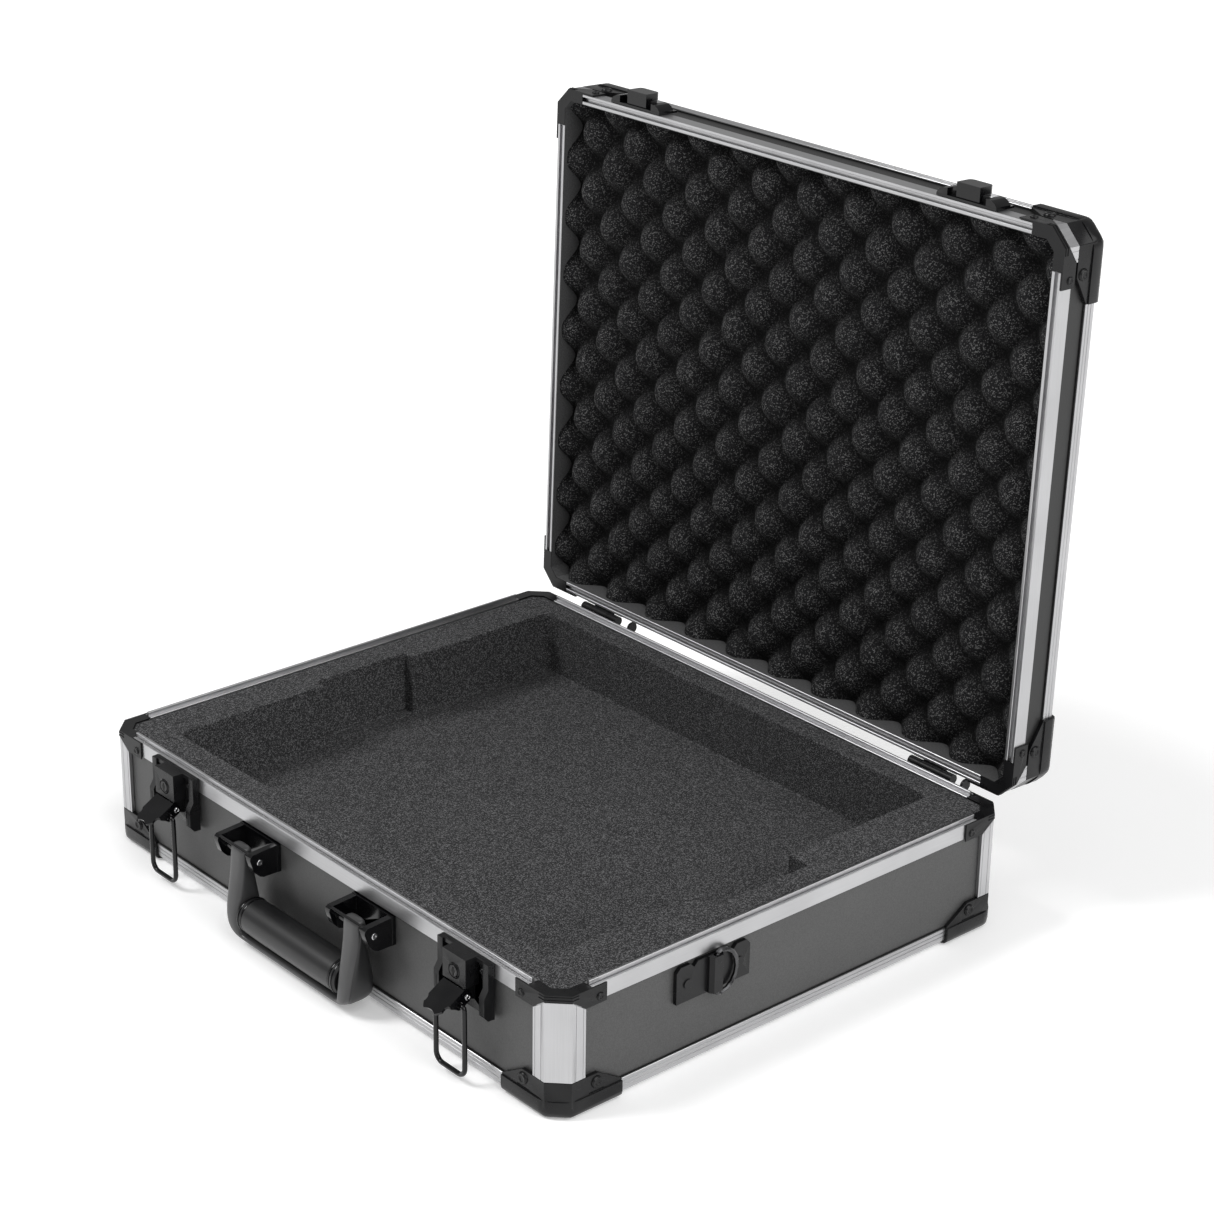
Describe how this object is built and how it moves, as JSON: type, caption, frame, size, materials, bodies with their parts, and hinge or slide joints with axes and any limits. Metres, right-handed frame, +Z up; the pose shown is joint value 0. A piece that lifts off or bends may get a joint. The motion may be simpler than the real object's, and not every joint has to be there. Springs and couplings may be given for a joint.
{
  "type": "aluminium attache case",
  "caption": "Aluminium-framed attache case standing open: foam-lined base and lid, sprung draw latches, drop handle, side D-rings, black corner fittings.",
  "frame": {"origin": "bottom centre of the open case's bounding box, on the surface it stands on", "axes": "X to the right seen from the handle side, Y from the handle side to the hinges, Z up"},
  "size_m": [0.4736, 0.4548, 0.4675],
  "materials": {
    "aluminium": "satin anodised",
    "panel_laminate": "satin grey laminate on board",
    "black_steel": "satin black",
    "bright_steel": "nickel plated",
    "base_foam": "cut foam",
    "lid_foam": "open-cell foam",
    "handle_plastic": "satin"
  },
  "bodies": {
    "base": {"base_rim": "aluminium", "base_bottom_edge": "aluminium", "base_post_front_left": "aluminium", "base_rim_corner_front_left": "black_steel", "base_ball_corner_front_left": "black_steel", "base_post_front_right": "aluminium", "base_rim_corner_front_right": "black_steel", "base_ball_corner_front_right": "black_steel", "base_post_back_right": "aluminium", "base_rim_corner_back_right": "black_steel", "base_ball_corner_back_right": "black_steel", "base_post_back_left": "aluminium", "base_rim_corner_back_left": "black_steel", "base_ball_corner_back_left": "black_steel", "base_bottom_panel": "panel_laminate", "base_front_panel": "panel_laminate", "base_right_panel": "panel_laminate", "base_back_panel": "panel_laminate", "base_left_panel": "panel_laminate", "base_foam": "base_foam", "latch_housing_left": "black_steel", "handle_bracket_left": "black_steel", "dring_plate_left": "black_steel", "hinge_base_leaf_left": "black_steel", "latch_housing_right": "black_steel", "handle_bracket_right": "black_steel", "dring_plate_right": "black_steel", "hinge_base_leaf_right": "black_steel"},
    "lid": {"lid_rim": "aluminium", "lid_top_edge": "aluminium", "lid_post_front_left": "aluminium", "lid_rim_corner_front_left": "black_steel", "lid_ball_corner_front_left": "black_steel", "lid_post_front_right": "aluminium", "lid_rim_corner_front_right": "black_steel", "lid_ball_corner_front_right": "black_steel", "lid_post_back_right": "aluminium", "lid_rim_corner_back_right": "black_steel", "lid_ball_corner_back_right": "black_steel", "lid_post_back_left": "aluminium", "lid_rim_corner_back_left": "black_steel", "lid_ball_corner_back_left": "black_steel", "lid_top_panel": "panel_laminate", "lid_wall": "panel_laminate", "lid_foam": "lid_foam", "latch_catch_left": "black_steel", "hinge_lid_leaf_left": "black_steel", "latch_catch_right": "black_steel", "hinge_lid_leaf_right": "black_steel"},
    "handle": {"handle": "handle_plastic"},
    "lever_left": {"latch_lever_left": "black_steel"},
    "bail_pin_left": {"latch_bail_pin_left": "bright_steel"},
    "bail_left": {"latch_bail_left": "black_steel"},
    "lock_left": {"lock_cylinder_left": "bright_steel"},
    "ring_left": {"dring_left": "bright_steel"},
    "lever_right": {"latch_lever_right": "black_steel"},
    "bail_pin_right": {"latch_bail_pin_right": "bright_steel"},
    "bail_right": {"latch_bail_right": "black_steel"},
    "lock_right": {"lock_cylinder_right": "bright_steel"},
    "ring_right": {"dring_right": "bright_steel"}
  },
  "joints": [
    {"name": "lid_hinge", "type": "hinge", "parent": "base", "child": "lid", "pos_m": [0, 0.17796, 0.082], "axis": [1, 0, 0], "range_deg": [0, 91.77]},
    {"name": "lever_left_pivot", "type": "hinge", "parent": "base", "child": "lever_left", "pos_m": [-0.1515, -0.20526, 0.0562], "axis": [1, 0, 0], "range_deg": [0, 60], "stiffness_Nm_per_rad": 0.006, "springref_deg": -34.38},
    {"name": "bail_pin_left_turn", "type": "hinge", "parent": "lever_left", "child": "bail_pin_left", "pos_m": [-0.1515, -0.21074, 0.05269], "axis": [-1, 0, 0], "range_deg": [0, 60]},
    {"name": "bail_left_pivot", "type": "hinge", "parent": "bail_pin_left", "child": "bail_left", "pos_m": [-0.1515, -0.21074, 0.05269], "axis": [-1, 0, 0], "range_deg": [-5, 185.5]},
    {"name": "lock_left_turn", "type": "hinge", "parent": "base", "child": "lock_left", "pos_m": [-0.1515, -0.20756, 0.0704], "axis": [0, 1, 0], "range_deg": [0, 90]},
    {"name": "dring_left_swivel", "type": "hinge", "parent": "base", "child": "ring_left", "pos_m": [-0.2343, -0.07806, 0.0575], "axis": [0, 0, 1], "range_deg": [0, 175]},
    {"name": "lever_right_pivot", "type": "hinge", "parent": "base", "child": "lever_right", "pos_m": [0.1515, -0.20526, 0.0562], "axis": [1, 0, 0], "range_deg": [0, 60], "stiffness_Nm_per_rad": 0.006, "springref_deg": -34.38},
    {"name": "bail_pin_right_turn", "type": "hinge", "parent": "lever_right", "child": "bail_pin_right", "pos_m": [0.1515, -0.21074, 0.05269], "axis": [-1, 0, 0], "range_deg": [0, 60]},
    {"name": "bail_right_pivot", "type": "hinge", "parent": "bail_pin_right", "child": "bail_right", "pos_m": [0.1515, -0.21074, 0.05269], "axis": [-1, 0, 0], "range_deg": [-5, 185.5]},
    {"name": "lock_right_turn", "type": "hinge", "parent": "base", "child": "lock_right", "pos_m": [0.1515, -0.20756, 0.0704], "axis": [0, 1, 0], "range_deg": [0, 90]},
    {"name": "dring_right_swivel", "type": "hinge", "parent": "base", "child": "ring_right", "pos_m": [0.2343, -0.07806, 0.0575], "axis": [0, 0, -1], "range_deg": [0, 175]},
    {"name": "handle_hinge", "type": "hinge", "parent": "base", "child": "handle", "pos_m": [0, -0.21086, 0.062], "axis": [-1, 0, 0], "range_deg": [-2, 95]}
  ],
  "couplings": [
    {"joint": "bail_pin_left_turn", "follows": "lever_left_pivot", "ratio": 1},
    {"joint": "bail_pin_right_turn", "follows": "lever_right_pivot", "ratio": 1}
  ]
}
